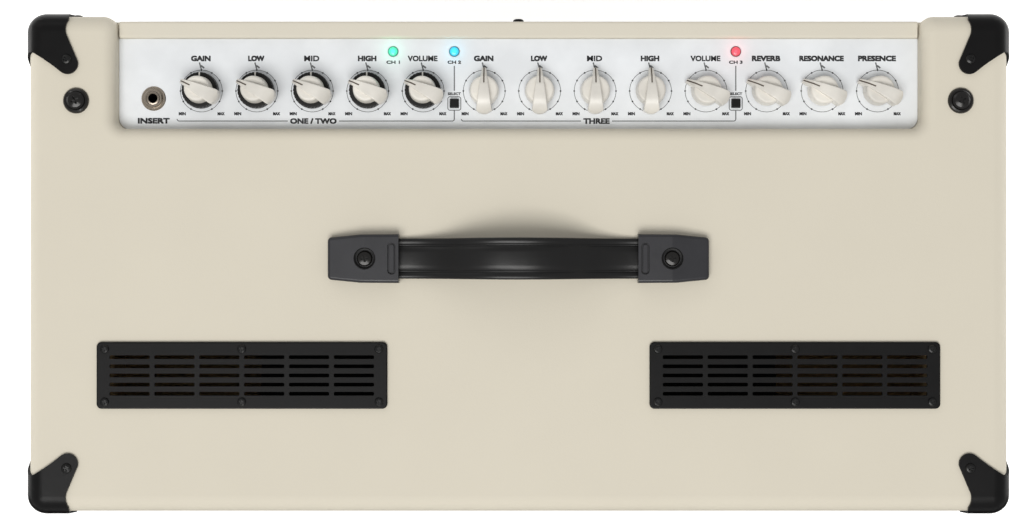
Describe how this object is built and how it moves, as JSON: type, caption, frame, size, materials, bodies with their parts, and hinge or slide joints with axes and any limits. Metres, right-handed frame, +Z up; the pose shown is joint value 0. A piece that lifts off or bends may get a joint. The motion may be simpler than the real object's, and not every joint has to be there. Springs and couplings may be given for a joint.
{
  "type": "guitar amplifier head",
  "caption": "Guitar amplifier head in cream vinyl: panel of knobs recessed in its top, strap handle, vent grilles, corner protectors, sockets and switches at the rear.",
  "frame": {"origin": "on the surface that the feet stand on, under the middle of the cabinet", "axes": "+Z up; -Y towards the front; +X towards the right-hand side of someone facing the front"},
  "size_m": [0.709, 0.361, 0.2977],
  "materials": {
    "birch_plywood": "matte birch plywood",
    "black_iron": "black lacquer over laminated iron",
    "black_knob": "fluted black moulding",
    "black_plastic": "satin moulded",
    "black_screw": "black oxide",
    "black_steel": "satin black coat",
    "cap_plastic": "satin moulded",
    "capacitor_sleeve": "shrink sleeve",
    "ceramic_socket": "glazed ceramic",
    "circuit_board": "green laminate",
    "cream_vinyl": "textured cream vinyl",
    "cream_vinyl_board": "plywood covered in textured cream vinyl",
    "dark_steel": "dark plated",
    "foot_rubber": "matte",
    "grille_cloth": "woven black grille cloth",
    "ivory_knob": "ivory moulding",
    "lamp_lens": "clear moulded lens",
    "nickel": "nickel plated",
    "pine": "planed softwood",
    "piping": "smooth cream piping",
    "strap_rubber": "glossy moulded",
    "tube_glass": "clear glass with silvered tip",
    "white_panel": "satin white",
    "zinc_steel": "zinc plated"
  },
  "bodies": {
    "cabinet": {"bottom_board": "birch_plywood", "chassis": "zinc_steel", "circuit_boards": "circuit_board", "cleats": "pine", "control_panel": "white_panel", "corner_protectors": "black_steel", "cup_washers": "dark_steel", "filter_capacitors": "capacitor_sleeve", "front_baffle": "birch_plywood", "grille_cloth": "grille_cloth", "grille_piping": "piping", "handle_end_caps": "cap_plastic", "indicator_lamps": "lamp_lens", "jack_nuts": "nickel", "jack_sockets": "black_plastic", "left_side_board": "birch_plywood", "mains_inlet": "black_plastic", "output_transformer": "black_iron", "pot_nuts": "nickel", "potentiometers": "zinc_steel", "power_transformer": "black_iron", "power_tubes": "tube_glass", "preamp_tubes": "tube_glass", "rear_board": "cream_vinyl_board", "rear_socket_plate": "white_panel", "rear_vent_mesh": "black_steel", "reverb_tank": "black_steel", "right_side_board": "birch_plywood", "rubber_feet": "foot_rubber", "switch_frames": "black_plastic", "top_board": "birch_plywood", "top_bolts": "dark_steel", "tube_sockets": "ceramic_socket", "vent_grilles": "black_plastic", "vinyl_covering": "cream_vinyl", "wood_screws": "black_screw"},
    "gain_ch12_lower": {"gain_knob_ch12_lower": "black_knob"},
    "gain_ch12_upper": {"gain_knob_ch12_upper": "ivory_knob"},
    "low_ch12_lower": {"low_knob_ch12_lower": "black_knob"},
    "low_ch12_upper": {"low_knob_ch12_upper": "ivory_knob"},
    "mid_ch12_lower": {"mid_knob_ch12_lower": "black_knob"},
    "mid_ch12_upper": {"mid_knob_ch12_upper": "ivory_knob"},
    "high_ch12_lower": {"high_knob_ch12_lower": "black_knob"},
    "high_ch12_upper": {"high_knob_ch12_upper": "ivory_knob"},
    "volume_ch12_lower": {"volume_knob_ch12_lower": "black_knob"},
    "volume_ch12_upper": {"volume_knob_ch12_upper": "ivory_knob"},
    "gain_ch3": {"gain_knob_ch3": "ivory_knob"},
    "low_ch3": {"low_knob_ch3": "ivory_knob"},
    "mid_ch3": {"mid_knob_ch3": "ivory_knob"},
    "high_ch3": {"high_knob_ch3": "ivory_knob"},
    "volume_ch3": {"volume_knob_ch3": "ivory_knob"},
    "reverb": {"reverb_knob": "ivory_knob"},
    "resonance": {"resonance_knob": "ivory_knob"},
    "presence": {"presence_knob": "ivory_knob"},
    "select_ch12": {"select_button_ch12": "black_plastic"},
    "select_ch3": {"select_button_ch3": "black_plastic"},
    "power_switch": {"power_rocker": "black_plastic"},
    "standby_switch": {"standby_rocker": "black_plastic"},
    "strap": {"handle_strap": "strap_rubber"}
  },
  "joints": [
    {"name": "gain_ch12_lower_turn", "type": "hinge", "parent": "cabinet", "child": "gain_ch12_lower", "pos_m": [-0.229, 0.1248, 0.255], "axis": [0, 0, 1], "range_deg": [-150, 150]},
    {"name": "gain_ch12_upper_turn", "type": "hinge", "parent": "cabinet", "child": "gain_ch12_upper", "pos_m": [-0.229, 0.1248, 0.265], "axis": [0, 0, 1], "range_deg": [-214, 86]},
    {"name": "low_ch12_lower_turn", "type": "hinge", "parent": "cabinet", "child": "low_ch12_lower", "pos_m": [-0.18895, 0.1248, 0.255], "axis": [0, 0, 1], "range_deg": [-150, 150]},
    {"name": "low_ch12_upper_turn", "type": "hinge", "parent": "cabinet", "child": "low_ch12_upper", "pos_m": [-0.18895, 0.1248, 0.265], "axis": [0, 0, 1], "range_deg": [-214, 86]},
    {"name": "mid_ch12_lower_turn", "type": "hinge", "parent": "cabinet", "child": "mid_ch12_lower", "pos_m": [-0.1489, 0.1248, 0.255], "axis": [0, 0, 1], "range_deg": [-150, 150]},
    {"name": "mid_ch12_upper_turn", "type": "hinge", "parent": "cabinet", "child": "mid_ch12_upper", "pos_m": [-0.1489, 0.1248, 0.265], "axis": [0, 0, 1], "range_deg": [-214, 86]},
    {"name": "high_ch12_lower_turn", "type": "hinge", "parent": "cabinet", "child": "high_ch12_lower", "pos_m": [-0.10885, 0.1248, 0.255], "axis": [0, 0, 1], "range_deg": [-150, 150]},
    {"name": "high_ch12_upper_turn", "type": "hinge", "parent": "cabinet", "child": "high_ch12_upper", "pos_m": [-0.10885, 0.1248, 0.265], "axis": [0, 0, 1], "range_deg": [-214, 86]},
    {"name": "volume_ch12_lower_turn", "type": "hinge", "parent": "cabinet", "child": "volume_ch12_lower", "pos_m": [-0.0688, 0.1248, 0.255], "axis": [0, 0, 1], "range_deg": [-150, 150]},
    {"name": "volume_ch12_upper_turn", "type": "hinge", "parent": "cabinet", "child": "volume_ch12_upper", "pos_m": [-0.0688, 0.1248, 0.265], "axis": [0, 0, 1], "range_deg": [-214, 86]},
    {"name": "gain_ch3_turn", "type": "hinge", "parent": "cabinet", "child": "gain_ch3", "pos_m": [-0.0247, 0.1248, 0.258], "axis": [0, 0, 1], "range_deg": [-150, 150]},
    {"name": "low_ch3_turn", "type": "hinge", "parent": "cabinet", "child": "low_ch3", "pos_m": [0.01535, 0.1248, 0.258], "axis": [0, 0, 1], "range_deg": [-150, 150]},
    {"name": "mid_ch3_turn", "type": "hinge", "parent": "cabinet", "child": "mid_ch3", "pos_m": [0.0554, 0.1248, 0.258], "axis": [0, 0, 1], "range_deg": [-150, 150]},
    {"name": "high_ch3_turn", "type": "hinge", "parent": "cabinet", "child": "high_ch3", "pos_m": [0.09545, 0.1248, 0.258], "axis": [0, 0, 1], "range_deg": [-150, 150]},
    {"name": "volume_ch3_turn", "type": "hinge", "parent": "cabinet", "child": "volume_ch3", "pos_m": [0.1355, 0.1248, 0.258], "axis": [0, 0, 1], "range_deg": [-214, 86]},
    {"name": "reverb_turn", "type": "hinge", "parent": "cabinet", "child": "reverb", "pos_m": [0.1793, 0.1248, 0.258], "axis": [0, 0, 1], "range_deg": [-214, 86]},
    {"name": "resonance_turn", "type": "hinge", "parent": "cabinet", "child": "resonance", "pos_m": [0.21935, 0.1248, 0.258], "axis": [0, 0, 1], "range_deg": [-214, 86]},
    {"name": "presence_turn", "type": "hinge", "parent": "cabinet", "child": "presence", "pos_m": [0.2594, 0.1248, 0.258], "axis": [0, 0, 1], "range_deg": [-214, 86]},
    {"name": "select_ch12_press", "type": "slide", "parent": "cabinet", "child": "select_ch12", "axis": [0, 0, -1], "range_m": [0, 0.0015], "stiffness_N_per_m": 400},
    {"name": "select_ch3_press", "type": "slide", "parent": "cabinet", "child": "select_ch3", "axis": [0, 0, -1], "range_m": [0, 0.0015], "stiffness_N_per_m": 400},
    {"name": "power_rock", "type": "hinge", "parent": "cabinet", "child": "power_switch", "pos_m": [0.19, 0.162, 0.214], "axis": [1, 0, 0], "range_deg": [-20, 0]},
    {"name": "standby_rock", "type": "hinge", "parent": "cabinet", "child": "standby_switch", "pos_m": [0.16, 0.162, 0.214], "axis": [1, 0, 0], "range_deg": [-20, 0]},
    {"name": "strap_slide", "type": "slide", "parent": "cabinet", "child": "strap", "axis": [1, 0, 0], "range_m": [-0.003, 0.003]}
  ]
}
